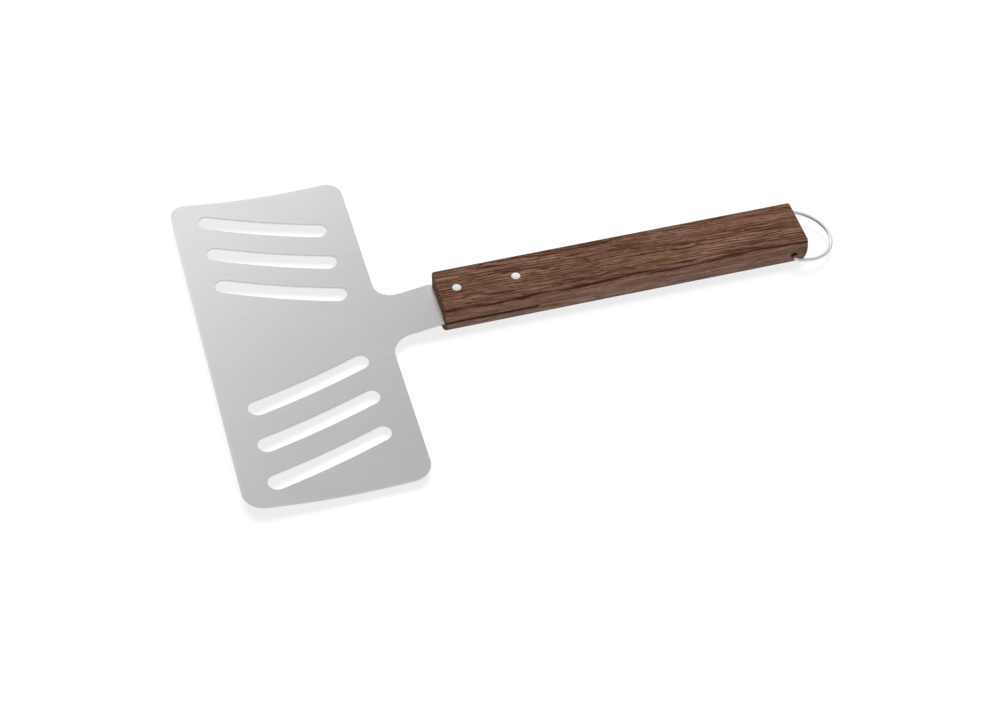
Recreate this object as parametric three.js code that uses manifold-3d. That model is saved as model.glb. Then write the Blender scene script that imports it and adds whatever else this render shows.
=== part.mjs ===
// Slotted kitchen turner: a wide curved sheet-steel blade, riveted into a kerf
// in a plain wooden handle, with a wire loop to hang it by.
// Millimetres, +Z up. The turner lies on z = 0 and +X runs from the blade to the handle's rear end.
// Sizes along X count from the handle's mouth, where the neck leaves the wood.

import * as THREE from 'three';
import { mergeVertices, toCreasedNormals } from 'three/addons/utils/BufferGeometryUtils.js';
import Module from 'manifold-3d';

const wasm = await Module();
wasm.setup();

// Handle
const handleLength = 220.4;
const handleWidth = 32.3;
const handleThickness = 17.5;
const edgeRound = 1.5;
const rearRound = 2;
const heelDepth = 5;
const lipReach = 2;
const noseRadius = 5;

// Sheet of the blade, neck and tang
const sheetThickness = 1.2;
const bladeWidth = 240;
const bladeLength = 104;
const neckLength = 32.4;
const neckOverhang = 0.3;
const cornerRadius = 11.5;
const neckFillet = 12;
const crankRadius = 10;
const crankAngle = THREE.MathUtils.degToRad(9.9);
const bellyRadius = 370;

// Slots in each half of the blade
const slotsPerHalf = 3;
const slotWidth = 10.5;
const slotEndMargin = 15.3;
const slotSideMargin = 11.7;
const slotInnerOffset = 27.6;
const slotSlant = THREE.MathUtils.degToRad(18.4);

// Tang and kerf
const tangWidth = 22;
const tangEndMargin = 7;
const tangCorner = 4;
const kerfEndGap = 2.6;
const kerfClearance = 0.1;

// Rivets
const rivetDiameter = 5.5;
const frontRivetInset = 11;
const rivetSpacing = 35.1;
const rivetClearance = 0.1;
const rivetSetBack = 0.1;
const rivetChamfer = 0.3;

// Wire loop
const wireDiameter = 2.4;
const loopSideGap = 3.4;
const loopLegLength = 8;
const loopCornerRadius = 3;
const loopHoleFromRear = 8.8;
const loopHoleHeight = 5.8;
const loopEndDepth = 7;
const loopEndGap = 1;
const loopHoleClearance = 0.5;

// Fineness of curves
const arcSegments = 8;
const bellySegments = 14;
const edgeSegments = 5;
const roundSides = 32;
const wireSides = 12;
const wireSteps = 96;

// A cutter runs past the faces that it cuts by this much
const cutOver = 2;

// Values that follow from the sizes above
const bladeFront = -(neckLength + bladeLength);
const bladeRear = -neckLength;
const neckWidth = handleWidth + 2 * neckOverhang;
const rivetPlaces = [frontRivetInset, frontRivetInset + rivetSpacing];
const tangLength = rivetPlaces[1] + tangEndMargin;
const kerfDepth = tangLength + kerfEndGap;

// The sheet stays level over the lip, then drops to the belly, whose underside is level with the handle's
const crankStart = lipReach;
const bendDrop = (crankRadius + bellyRadius) * (1 - Math.cos(crankAngle));
const tangTop = sheetThickness + bendDrop;
const tangBottom = tangTop - sheetThickness;
const kerfTop = tangTop + kerfClearance;
const kerfBottom = tangBottom - kerfClearance;

const loopRadius = handleWidth / 2 + loopSideGap + wireDiameter / 2;
const loopReach = loopLegLength + loopRadius;
const loopHinge = handleLength - loopHoleFromRear;
const loopDroop = Math.asin((loopHoleHeight - wireDiameter / 2) / loopReach);
const loopTip = loopHinge + loopReach * Math.cos(loopDroop) + wireDiameter / 2;

// The origin lies under the middle of the whole turner
const middle = (bladeFront + loopTip) / 2;

const steel = { color: 0xcfcfcf, roughness: 0.38, metalness: 1 };
const brightSteel = { color: 0xe6e6e6, roughness: 0.2, metalness: 1 };
const wood = { color: 0x735344, roughness: 0.7, metalness: 0 };

// Solids for cutting and joining

function toSolid(geometry) {
  const bare = geometry.clone();
  bare.deleteAttribute('normal');
  bare.deleteAttribute('uv');
  const merged = mergeVertices(bare);
  const mesh = new wasm.Mesh({
    numProp: 3,
    vertProperties: new Float32Array(merged.attributes.position.array),
    triVerts: new Uint32Array(merged.index.array),
  });
  return new wasm.Manifold(mesh);
}

function toGeometry(solid) {
  const mesh = solid.getMesh();
  const geometry = new THREE.BufferGeometry();
  geometry.setAttribute('position', new THREE.BufferAttribute(mesh.vertProperties, 3));
  geometry.setIndex(new THREE.BufferAttribute(mesh.triVerts, 1));
  return toCreasedNormals(geometry, THREE.MathUtils.degToRad(30));
}

function piece(name, geometry, look) {
  const mesh = new THREE.Mesh(geometry, new THREE.MeshStandardMaterial(look));
  mesh.name = name;
  return mesh;
}

// Outline through corner points [x, y, radius], each corner rounded by its radius
function roundedShape(corners) {
  const shape = new THREE.Shape();
  const count = corners.length;
  corners.forEach(([x, y, radius], i) => {
    const [beforeX, beforeY] = corners[(i + count - 1) % count];
    const [afterX, afterY] = corners[(i + 1) % count];
    const corner = new THREE.Vector2(x, y);
    const arriving = new THREE.Vector2(x - beforeX, y - beforeY).normalize();
    const leaving = new THREE.Vector2(afterX - x, afterY - y).normalize();
    const turn = Math.atan2(arriving.cross(leaving), arriving.dot(leaving));
    const setBack = radius * Math.tan(Math.abs(turn) / 2);
    const start = corner.clone().addScaledVector(arriving, -setBack);
    const inward = new THREE.Vector2(-arriving.y, arriving.x).multiplyScalar(Math.sign(turn) * radius);
    const from = Math.atan2(-inward.y, -inward.x);
    if (i === 0) {
      shape.moveTo(start.x, start.y);
    }
    if (radius === 0) {
      shape.lineTo(x, y);
      return;
    }
    shape.absarc(start.x + inward.x, start.y + inward.y, radius, from, from + turn, turn < 0);
  });
  shape.closePath();
  return shape;
}

// A plan outline, drawn in X and Y and raised from one height to another
function extrudeUp(shape, low, high, curveSegments) {
  const settings = { depth: high - low, bevelEnabled: false, curveSegments };
  return new THREE.ExtrudeGeometry(shape, settings).translate(0, 0, low);
}

// A side outline, drawn in X and Z and as wide as given across Y
function extrudeAcross(shape, width, curveSegments) {
  const settings = { depth: width, bevelEnabled: false, curveSegments };
  return new THREE.ExtrudeGeometry(shape, settings).translate(0, 0, -width / 2).rotateX(Math.PI / 2);
}

// An end outline, drawn in Y and Z and drawn out along X
function extrudeAlong(shape, rear, front, curveSegments) {
  const settings = { depth: rear - front, bevelEnabled: false, curveSegments };
  const geometry = new THREE.ExtrudeGeometry(shape, settings).translate(0, 0, front);
  return geometry.rotateX(Math.PI / 2).rotateZ(Math.PI / 2);
}

// Upright round bar, for rivet holes
function uprightBar(radius, x, low, high) {
  const bar = new THREE.CylinderGeometry(radius, radius, high - low, roundSides);
  return bar.rotateX(Math.PI / 2).translate(x, 0, (low + high) / 2);
}

// Blade: side profile of the bent sheet, trimmed to the plan outline

function sheetProfile() {
  const crankX = -crankStart;
  const crankZ = tangTop - crankRadius;
  const bellyX = crankX - (crankRadius + bellyRadius) * Math.sin(crankAngle);
  const bellyZ = sheetThickness + bellyRadius;
  const frontAngle = Math.asin((bellyX - bladeFront + cutOver) / bellyRadius);
  const up = Math.PI / 2;
  const crankEnd = up + crankAngle;
  const bellyStart = crankAngle - up;
  const bellyEnd = -frontAngle - up;
  const profile = new THREE.Shape();
  profile.moveTo(tangLength + cutOver, tangBottom);
  profile.lineTo(tangLength + cutOver, tangTop);
  profile.absarc(crankX, crankZ, crankRadius, up, crankEnd, false);
  profile.absarc(bellyX, bellyZ, bellyRadius, bellyStart, bellyEnd, true);
  profile.absarc(bellyX, bellyZ, bellyRadius + sheetThickness, bellyEnd, bellyStart, false);
  profile.absarc(crankX, crankZ, crankRadius - sheetThickness, crankEnd, up, true);
  profile.closePath();
  return profile;
}

function slotHole(frontX, frontY, rearX, rearY) {
  const radius = slotWidth / 2;
  const along = Math.atan2(rearY - frontY, rearX - frontX);
  const quarter = Math.PI / 2;
  const hole = new THREE.Path();
  hole.absarc(rearX, rearY, radius, along - quarter, along + quarter, false);
  hole.absarc(frontX, frontY, radius, along + quarter, along + 3 * quarter, false);
  hole.closePath();
  return hole;
}

// The slots lean outwards to the front, evenly spaced from the neck's side to the blade's side
function slotHoles() {
  const frontX = bladeFront + slotEndMargin + slotWidth / 2;
  const rearX = bladeRear - slotEndMargin - slotWidth / 2;
  const lean = (rearX - frontX) * Math.tan(slotSlant);
  const outerRearY = bladeWidth / 2 - slotSideMargin - slotWidth / 2 - lean;
  const pitch = (outerRearY - slotInnerOffset) / Math.max(slotsPerHalf - 1, 1);
  const holes = [];
  for (const side of [-1, 1]) {
    for (let i = 0; i < slotsPerHalf; i += 1) {
      const rearY = slotInnerOffset + i * pitch;
      holes.push(slotHole(frontX, side * (rearY + lean), rearX, side * rearY));
    }
  }
  return holes;
}

function bladePlan() {
  const half = [
    [tangLength, tangWidth / 2, tangCorner],
    [0, tangWidth / 2, 0],
    [0, neckWidth / 2, 0],
    [bladeRear, neckWidth / 2, neckFillet],
    [bladeRear, bladeWidth / 2, cornerRadius],
    [bladeFront, bladeWidth / 2, cornerRadius],
  ];
  const mirrored = half.map(([x, y, radius]) => [x, -y, radius]).reverse();
  const plan = roundedShape([...half, ...mirrored]);
  plan.holes.push(...slotHoles());
  for (const place of rivetPlaces) {
    const hole = new THREE.Path();
    hole.absarc(place, 0, rivetDiameter / 2 + rivetClearance, 0, 2 * Math.PI, false);
    plan.holes.push(hole);
  }
  return plan;
}

function makeBlade() {
  const sheet = extrudeAcross(sheetProfile(), bladeWidth + 2 * cutOver, bellySegments);
  const wellAbove = handleThickness + bladeLength;
  const outline = extrudeUp(bladePlan(), -cutOver, wellAbove, arcSegments);
  return piece('blade', toGeometry(toSolid(sheet).intersect(toSolid(outline))), steel);
}

// Handle: a bar with every edge rounded and a rounded lip that reaches under the neck,
// with the kerf, the rivet holes and the blind side holes

// The rear end falls away from its top rounding to the underside in one tall, shallow curve
function bodySide() {
  const heelX = handleLength - heelDepth;
  const heelZ = handleThickness - rearRound;
  const quarter = Math.PI / 2;
  const side = new THREE.Shape();
  side.moveTo(0, 0);
  side.lineTo(heelX, 0);
  side.absellipse(heelX, heelZ, heelDepth, heelZ, -quarter, 0, false);
  side.absarc(handleLength - rearRound, heelZ, rearRound, 0, quarter, false);
  side.absarc(edgeRound, handleThickness - edgeRound, edgeRound, quarter, Math.PI, false);
  side.closePath();
  return side;
}

// A bar with one outline as seen from the side and another as seen from above
function crossedBar(side, plan) {
  const across = extrudeAcross(side, handleWidth + 2 * cutOver, arcSegments);
  const upward = extrudeUp(plan, -cutOver, handleThickness + cutOver, edgeSegments);
  return toSolid(across).intersect(toSolid(upward));
}

function makeHandle() {
  const halfWidth = handleWidth / 2;
  const bodyPlan = roundedShape([
    [handleLength, halfWidth, rearRound],
    [0, halfWidth, edgeRound],
    [0, -halfWidth, edgeRound],
    [handleLength, -halfWidth, rearRound],
  ]);
  const body = crossedBar(bodySide(), bodyPlan);
  const lipTop = (kerfBottom + kerfTop) / 2;
  const lipSide = roundedShape([
    [kerfDepth, 0, 0],
    [kerfDepth, lipTop, 0],
    [-lipReach, lipTop, 0],
    [-lipReach, 0, Math.min(noseRadius, kerfBottom)],
  ]);
  const lipPlan = roundedShape([
    [kerfDepth, halfWidth, 0],
    [-lipReach, halfWidth, edgeRound],
    [-lipReach, -halfWidth, edgeRound],
    [kerfDepth, -halfWidth, 0],
  ]);
  const lip = crossedBar(lipSide, lipPlan);
  const section = roundedShape([
    [halfWidth, 0, edgeRound],
    [halfWidth, handleThickness, edgeRound],
    [-halfWidth, handleThickness, edgeRound],
    [-halfWidth, 0, edgeRound],
  ]);
  const bar = extrudeAlong(section, handleLength + cutOver, -lipReach - cutOver, edgeSegments);
  let wooden = body.add(lip).intersect(toSolid(bar));

  const kerfStart = -lipReach - cutOver;
  const kerf = new THREE.BoxGeometry(kerfDepth - kerfStart, handleWidth + 2 * cutOver, kerfTop - kerfBottom);
  kerf.translate((kerfStart + kerfDepth) / 2, 0, (kerfBottom + kerfTop) / 2);
  wooden = wooden.subtract(toSolid(kerf));

  for (const place of rivetPlaces) {
    const radius = rivetDiameter / 2 + rivetClearance;
    wooden = wooden.subtract(toSolid(uprightBar(radius, place, -cutOver, handleThickness + cutOver)));
  }

  const holeRadius = wireDiameter / 2 + loopHoleClearance;
  const holeLength = loopEndDepth + loopEndGap + cutOver;
  for (const side of [-1, 1]) {
    const hole = new THREE.CylinderGeometry(holeRadius, holeRadius, holeLength, roundSides);
    hole.translate(loopHinge, side * (halfWidth + cutOver - holeLength / 2), loopHoleHeight);
    wooden = wooden.subtract(toSolid(hole));
  }
  return piece('handle', toGeometry(wooden), wood);
}

// Rivet: a pin with chamfered ends, just below the wood's faces

function makeRivet(name, place) {
  const radius = rivetDiameter / 2;
  const low = rivetSetBack;
  const high = handleThickness - rivetSetBack;
  const profile = [
    new THREE.Vector2(0, low),
    new THREE.Vector2(radius - rivetChamfer, low),
    new THREE.Vector2(radius, low + rivetChamfer),
    new THREE.Vector2(radius, high - rivetChamfer),
    new THREE.Vector2(radius - rivetChamfer, high),
    new THREE.Vector2(0, high),
  ];
  const pin = new THREE.LatheGeometry(profile, roundSides).rotateX(Math.PI / 2);
  return piece(name, pin.translate(place, 0, 0), brightSteel);
}

// Wire loop: in its own plane the wire runs in from one side hole, round a half circle and back

class LoopPath extends THREE.Curve {
  constructor() {
    super();
    const end = handleWidth / 2 - loopEndDepth;
    const bend = loopCornerRadius;
    this.flat = new THREE.Path();
    this.flat.moveTo(0, -end);
    this.flat.lineTo(0, bend - loopRadius);
    this.flat.absarc(bend, bend - loopRadius, bend, Math.PI, 1.5 * Math.PI, false);
    this.flat.lineTo(loopLegLength, -loopRadius);
    this.flat.absarc(loopLegLength, 0, loopRadius, -0.5 * Math.PI, 0.5 * Math.PI, false);
    this.flat.lineTo(bend, loopRadius);
    this.flat.absarc(bend, loopRadius - bend, bend, 0.5 * Math.PI, Math.PI, false);
    this.flat.lineTo(0, end);
  }

  getPoint(t, target = new THREE.Vector3()) {
    const point = this.flat.getPoint(t);
    return target.set(point.x, point.y, 0);
  }
}

function makeLoop() {
  const section = new THREE.Shape().absarc(0, 0, wireDiameter / 2, 0, 2 * Math.PI, false);
  const settings = { steps: wireSteps, extrudePath: new LoopPath(), curveSegments: wireSides / 2 };
  return piece('hanging_loop', new THREE.ExtrudeGeometry(section, settings), brightSteel);
}

const hinge = new THREE.Group();
hinge.position.set(loopHinge, 0, loopHoleHeight);
hinge.rotation.y = loopDroop;
hinge.add(makeLoop());

const turner = new THREE.Group();
turner.position.x = -middle;
turner.add(makeBlade());
turner.add(makeHandle());
turner.add(makeRivet('front_rivet', rivetPlaces[0]));
turner.add(makeRivet('rear_rivet', rivetPlaces[1]));
turner.add(hinge);

export default turner;
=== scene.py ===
"""Kitchen turner, dressed for its picture: a slotted steel blade, a wooden handle and a wire loop.

Lengths are in metres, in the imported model's axes: +X from the blade to the handle's rear end, +Z up.
Places along X that are named from the mouth count from where the neck leaves the wood.
"""

import math

import bmesh
import bpy
from mathutils import Matrix, Vector
from mathutils.geometry import delaunay_2d_cdt


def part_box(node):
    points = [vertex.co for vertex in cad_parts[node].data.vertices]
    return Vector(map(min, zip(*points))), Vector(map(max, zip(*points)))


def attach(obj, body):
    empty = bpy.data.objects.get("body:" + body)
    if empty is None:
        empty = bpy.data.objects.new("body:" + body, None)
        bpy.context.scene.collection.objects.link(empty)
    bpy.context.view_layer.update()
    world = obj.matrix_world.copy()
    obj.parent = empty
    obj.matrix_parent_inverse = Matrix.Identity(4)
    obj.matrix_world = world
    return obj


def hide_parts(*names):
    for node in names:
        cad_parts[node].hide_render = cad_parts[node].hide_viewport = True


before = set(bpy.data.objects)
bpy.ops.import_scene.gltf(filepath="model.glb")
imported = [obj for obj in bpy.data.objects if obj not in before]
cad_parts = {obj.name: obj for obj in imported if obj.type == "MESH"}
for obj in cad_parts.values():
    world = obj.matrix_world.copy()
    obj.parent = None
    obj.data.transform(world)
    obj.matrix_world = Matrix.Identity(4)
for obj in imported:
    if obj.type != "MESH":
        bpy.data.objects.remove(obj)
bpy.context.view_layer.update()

MM = 0.001

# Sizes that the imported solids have
HANDLE_LENGTH = 220.4 * MM
HANDLE_WIDTH = 32.3 * MM
HANDLE_THICKNESS = 17.5 * MM
EDGE_ROUND = 1.5 * MM
REAR_ROUND = 2 * MM
LIP_REACH = 2 * MM
NOSE_RADIUS = 5 * MM
SHEET_THICKNESS = 1.2 * MM
BLADE_WIDTH = 240 * MM
BLADE_LENGTH = 104 * MM
NECK_LENGTH = 32.4 * MM
NECK_OVERHANG = 0.3 * MM
CORNER_RADIUS = 11.5 * MM
NECK_FILLET = 12 * MM
CRANK_RADIUS = 10 * MM
CRANK_ANGLE = math.radians(9.9)
BELLY_RADIUS = 370 * MM
SLOTS_PER_HALF = 3
SLOT_WIDTH = 10.5 * MM
SLOT_END_MARGIN = 15.3 * MM
SLOT_SIDE_MARGIN = 11.7 * MM
SLOT_INNER_OFFSET = 27.6 * MM
SLOT_SLANT = math.radians(18.4)
TANG_WIDTH = 22 * MM
TANG_END_MARGIN = 7 * MM
TANG_CORNER = 4 * MM
KERF_END_GAP = 2.6 * MM
KERF_CLEARANCE = 0.1 * MM
RIVET_RADIUS = 2.75 * MM
FRONT_RIVET_INSET = 11 * MM
RIVET_SPACING = 35.1 * MM
RIVET_CLEARANCE = 0.1 * MM
RIVET_SET_BACK = 0.1 * MM
WIRE_RADIUS = 1.2 * MM
LOOP_SIDE_GAP = 3.4 * MM
LOOP_LEG_LENGTH = 8 * MM
LOOP_CORNER_RADIUS = 3 * MM
LOOP_HOLE_FROM_REAR = 8.8 * MM
LOOP_HOLE_HEIGHT = 5.8 * MM
LOOP_END_DEPTH = 7 * MM
LOOP_END_GAP = 1 * MM
LOOP_HOLE_CLEARANCE = 0.5 * MM

# Values that follow from them
BLADE_REAR = -NECK_LENGTH
BLADE_FRONT = -NECK_LENGTH - BLADE_LENGTH
MOUTH_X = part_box("blade")[0].x - BLADE_FRONT
NECK_WIDTH = HANDLE_WIDTH + 2 * NECK_OVERHANG
CRANK_START = LIP_REACH
BEND_DROP = (CRANK_RADIUS + BELLY_RADIUS) * (1 - math.cos(CRANK_ANGLE))
TANG_TOP = SHEET_THICKNESS + BEND_DROP
KERF_TOP = TANG_TOP + KERF_CLEARANCE
KERF_BOTTOM = TANG_TOP - SHEET_THICKNESS - KERF_CLEARANCE
RIVET_PLACES = (FRONT_RIVET_INSET, FRONT_RIVET_INSET + RIVET_SPACING)
TANG_LENGTH = RIVET_PLACES[1] + TANG_END_MARGIN
KERF_DEPTH = TANG_LENGTH + KERF_END_GAP
LOOP_RADIUS = HANDLE_WIDTH / 2 + LOOP_SIDE_GAP + WIRE_RADIUS
LOOP_REACH = LOOP_LEG_LENGTH + LOOP_RADIUS
LOOP_HINGE = HANDLE_LENGTH - LOOP_HOLE_FROM_REAR
LOOP_DROOP = math.asin((LOOP_HOLE_HEIGHT - WIRE_RADIUS) / LOOP_REACH)

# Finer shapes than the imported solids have
HEEL_DEPTH = 4 * MM
HEEL_HEIGHT = 8 * MM
END_BULGE = 40 * MM
SHEET_EDGE_ROUND = 0.28 * MM
RIVET_DOME = 0.06 * MM
RIVET_EDGE_ROUND = 0.25 * MM
WIRE_END_BEVEL = 0.2 * MM

# Fineness of the finished meshes
SHEET_EDGE_STEPS = 3
ARC_STEPS = 14
ROUND_STEPS = 8
HEEL_STEPS = 20
HOLE_STEPS = 48
RIVET_FACE_RINGS = (0.3, 0.6, 0.8)
RIVET_EDGE_STEPS = 4
WIRE_SIDES = 24
LOOP_BEND_STEPS = 12
LOOP_RING_STEPS = 72
HANDLE_SHARP_ANGLE = math.radians(32)
RIVET_SHARP_ANGLE = math.radians(40)
WIRE_SHARP_ANGLE = math.radians(30)
GRID_X = 4 * MM
GRID_Y = 6 * MM
GRID_CLEAR = 1.6 * MM
CUT_OVER = 2 * MM

# Lengths too small to count
SAME_PLACE = 1e-6
SAME_POINT = 1e-7


# Small helpers for meshes

def new_piece(name, mesh):
    """An object for a mesh, placed in the scene."""
    piece = bpy.data.objects.new(name, mesh)
    bpy.context.scene.collection.objects.link(piece)
    return piece


def mesh_from(name, points, faces, normals):
    """A smooth mesh with an exact normal at every vertex."""
    mesh = bpy.data.meshes.new(name)
    mesh.from_pydata(points, [], faces)
    mesh.validate()
    mesh.shade_smooth()
    mesh.normals_split_custom_set_from_vertices(normals)
    return mesh


def smooth_mesh(name, points, faces, sharp_angle):
    """A smooth mesh that stays sharp at every edge steeper than an angle."""
    mesh = bpy.data.meshes.new(name)
    mesh.from_pydata(points, [], faces)
    mesh.validate()
    mesh.shade_smooth()
    mesh.set_sharp_from_angle(angle=sharp_angle)
    return mesh


def add_layer(mesh, name, values):
    """A number at every vertex, for the materials to read."""
    layer = mesh.attributes.new(name, "FLOAT", "POINT")
    layer.data.foreach_set("value", values)


def rounded_outline(corners, steps):
    """Points and outward normals of an anticlockwise outline through corners (x, y, radius)."""
    points = []
    normals = []
    count = len(corners)
    for i, (x, y, radius) in enumerate(corners):
        corner = Vector((x, y))
        arriving = (corner - Vector(corners[i - 1][:2])).normalized()
        leaving = (Vector(corners[(i + 1) % count][:2]) - corner).normalized()
        turn = math.atan2(arriving.x * leaving.y - arriving.y * leaving.x, arriving.dot(leaving))
        first = Vector((arriving.y, -arriving.x))
        last = Vector((leaving.y, -leaving.x))
        if radius == 0:
            points.append(corner)
            normals.append((first + last).normalized())
            continue
        signed = math.copysign(radius, turn)
        start = corner - arriving * radius * math.tan(abs(turn) / 2)
        centre = start - first * signed
        for step in range(steps + 1):
            normal = Matrix.Rotation(turn * step / steps, 2) @ first
            points.append(centre + normal * signed)
            normals.append(normal)
    return points, normals


def round_hole(x, y, radius, steps):
    """Points and normals of a clockwise round hole, the normals pointing into the hole."""
    points = []
    normals = []
    for step in range(steps):
        angle = -2 * math.pi * step / steps
        out = Vector((math.cos(angle), math.sin(angle)))
        points.append(Vector((x, y)) + out * radius)
        normals.append(-out)
    return points, normals


def slot_hole(front, rear, steps):
    """Points and normals of a clockwise slot with round ends, the normals pointing into the slot."""
    along = (rear - front).normalized()
    across = Vector((-along.y, along.x))
    points = []
    normals = []
    for middle, first in ((rear, across), (front, -across)):
        for step in range(2 * steps + 1):
            out = Matrix.Rotation(-math.pi * step / (2 * steps), 2) @ first
            points.append(middle + out * SLOT_WIDTH / 2)
            normals.append(-out)
    return points, normals


# Blade

def sheet_face(x, crank_radius, belly_radius, level):
    """Height and slope, at x from the mouth, of one face of the bent sheet."""
    crank_x = -CRANK_START
    belly_x = crank_x - (CRANK_RADIUS + BELLY_RADIUS) * math.sin(CRANK_ANGLE)
    if x >= crank_x:
        return level, 0.0
    if x >= crank_x - crank_radius * math.sin(CRANK_ANGLE):
        reach = math.sqrt(crank_radius**2 - (x - crank_x) ** 2)
        return level - crank_radius + reach, (crank_x - x) / reach
    reach = math.sqrt(belly_radius**2 - (x - belly_x) ** 2)
    return SHEET_THICKNESS + BELLY_RADIUS - reach, (x - belly_x) / reach


def upper_face(x):
    """Height and slope of the sheet's upper face."""
    return sheet_face(x, CRANK_RADIUS, BELLY_RADIUS, TANG_TOP)


def lower_face(x):
    """Height and slope of the sheet's lower face, one thickness below the upper."""
    thickness = SHEET_THICKNESS
    return sheet_face(x, CRANK_RADIUS - thickness, BELLY_RADIUS + thickness, TANG_TOP - thickness)


def blade_outlines():
    """The outer outline and every hole, each as points and normals pointing away from the steel."""
    half = [
        (TANG_LENGTH, TANG_WIDTH / 2, TANG_CORNER),
        (0, TANG_WIDTH / 2, 0),
        (0, NECK_WIDTH / 2, 0),
        (BLADE_REAR, NECK_WIDTH / 2, NECK_FILLET),
        (BLADE_REAR, BLADE_WIDTH / 2, CORNER_RADIUS),
        (BLADE_FRONT, BLADE_WIDTH / 2, CORNER_RADIUS),
    ]
    mirrored = [(x, -y, radius) for x, y, radius in reversed(half)]
    outlines = [rounded_outline(half + mirrored, ARC_STEPS)]
    front_x = BLADE_FRONT + SLOT_END_MARGIN + SLOT_WIDTH / 2
    rear_x = BLADE_REAR - SLOT_END_MARGIN - SLOT_WIDTH / 2
    lean = (rear_x - front_x) * math.tan(SLOT_SLANT)
    outer_y = BLADE_WIDTH / 2 - SLOT_SIDE_MARGIN - SLOT_WIDTH / 2 - lean
    pitch = (outer_y - SLOT_INNER_OFFSET) / (SLOTS_PER_HALF - 1)
    for side in (-1, 1):
        for i in range(SLOTS_PER_HALF):
            rear_y = SLOT_INNER_OFFSET + i * pitch
            front = Vector((front_x, side * (rear_y + lean)))
            rear = Vector((rear_x, side * rear_y))
            outlines.append(slot_hole(front, rear, ARC_STEPS))
    for place in RIVET_PLACES:
        outlines.append(round_hole(place, 0, RIVET_RADIUS + RIVET_CLEARANCE, HOLE_STEPS))
    return outlines


def refined(points, normals, longest):
    """The same outline with extra points on its long straight runs, so that it can bend."""
    more_points = []
    more_normals = []
    for i, start in enumerate(points):
        end = points[(i + 1) % len(points)]
        parts = max(1, math.ceil((end - start).length / longest))
        straight = Vector(((end - start).y, -(end - start).x)).normalized()
        side = math.copysign(1, straight.dot(normals[i] + normals[(i + 1) % len(points)]))
        more_points.append(start)
        more_normals.append(normals[i])
        for part in range(1, parts):
            more_points.append(start.lerp(end, part / parts))
            more_normals.append(straight * side)
    return more_points, more_normals


def inside(point, rim):
    """Whether a point lies within a closed outline."""
    within = False
    for i, end in enumerate(rim):
        start = rim[i - 1]
        if (start.y > point.y) != (end.y > point.y):
            crossing = start.x + (point.y - start.y) / (end.y - start.y) * (end.x - start.x)
            within ^= point.x < crossing
    return within


def clear_of(point, rim, gap):
    """Whether a point lies further than the gap from an outline."""
    for i, end in enumerate(rim):
        run = rim[i - 1] - end
        share = max(0.0, min(1.0, (point - end).dot(run) / run.length_squared))
        if (point - end - run * share).length < gap:
            return False
    return True


def in_steel(point, rims):
    """Whether a point lies within the outer outline and outside every hole."""
    return inside(point, rims[0]) and not any(inside(point, rim) for rim in rims[1:])


def make_blade():
    """The sheet as two bent faces joined by rounded rims, each vertex with its exact normal."""
    outlines = [refined(points, normals, GRID_X) for points, normals in blade_outlines()]
    points = []
    normals = []
    rim_share = []
    faces = []
    plan = []
    plan_edges = []
    rims = []
    upper_ids = []
    lower_ids = []

    def add(place, height, slope, out, angle, facing):
        flat = Vector((-slope * facing, 0, facing)).normalized()
        points.append((place.x + MOUTH_X, place.y, height))
        normals.append(flat * math.cos(angle) + Vector((out.x, out.y, 0)) * math.sin(angle))
        rim_share.append(math.sin(angle))
        return len(points) - 1

    angles = [math.pi / 2 * step / SHEET_EDGE_STEPS for step in range(SHEET_EDGE_STEPS + 1)]
    for outline, outs in outlines:
        rings = []
        for facing, order in ((1, angles), (-1, angles[::-1])):
            for angle in order:
                ring = []
                for place, out in zip(outline, outs):
                    moved = place - out * SHEET_EDGE_ROUND * (1 - math.sin(angle))
                    height, slope = upper_face(moved.x) if facing > 0 else lower_face(moved.x)
                    height -= facing * SHEET_EDGE_ROUND * (1 - math.cos(angle))
                    ring.append(add(moved, height, slope, out, angle, facing))
                rings.append(ring)
        count = len(outline)
        for above, below in zip(rings, rings[1:]):
            for i in range(count):
                j = (i + 1) % count
                faces.append((above[i], below[i], below[j], above[j]))
        first = len(plan)
        rims.append([place - out * SHEET_EDGE_ROUND for place, out in zip(outline, outs)])
        plan += rims[-1]
        plan_edges += [(first + i, first + (i + 1) % count) for i in range(count)]
        upper_ids += rings[0]
        lower_ids += rings[-1]

    for i in range(math.ceil((TANG_LENGTH - BLADE_FRONT) / GRID_X)):
        for j in range(math.ceil(BLADE_WIDTH / GRID_Y)):
            x = BLADE_FRONT + (i + 0.5) * GRID_X
            place = Vector((x, -BLADE_WIDTH / 2 + (j + 0.5) * GRID_Y))
            if in_steel(place, rims) and all(clear_of(place, rim, GRID_CLEAR) for rim in rims):
                plan.append(place)
                upper_ids.append(add(place, *upper_face(place.x), place, 0, 1))
                lower_ids.append(add(place, *lower_face(place.x), place, 0, -1))

    within_constraints = 1
    filled = delaunay_2d_cdt(plan, plan_edges, [], within_constraints, SAME_POINT)
    triangles = filled[2]
    sources = filled[3]
    for triangle in triangles:
        corners = [sources[v][0] for v in triangle]
        middle = sum((plan[v] for v in corners), Vector((0, 0))) / 3
        if in_steel(middle, rims):
            faces.append(tuple(upper_ids[v] for v in corners))
            faces.append(tuple(lower_ids[v] for v in reversed(corners)))
    mesh = mesh_from("blade_sheet", points, faces, normals)
    add_layer(mesh, "rim", rim_share)
    return new_piece("blade_sheet", mesh)


# Handle

def near(a, b):
    """Whether two lengths are the same, apart from rounding."""
    return abs(a - b) < SAME_PLACE


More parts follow.
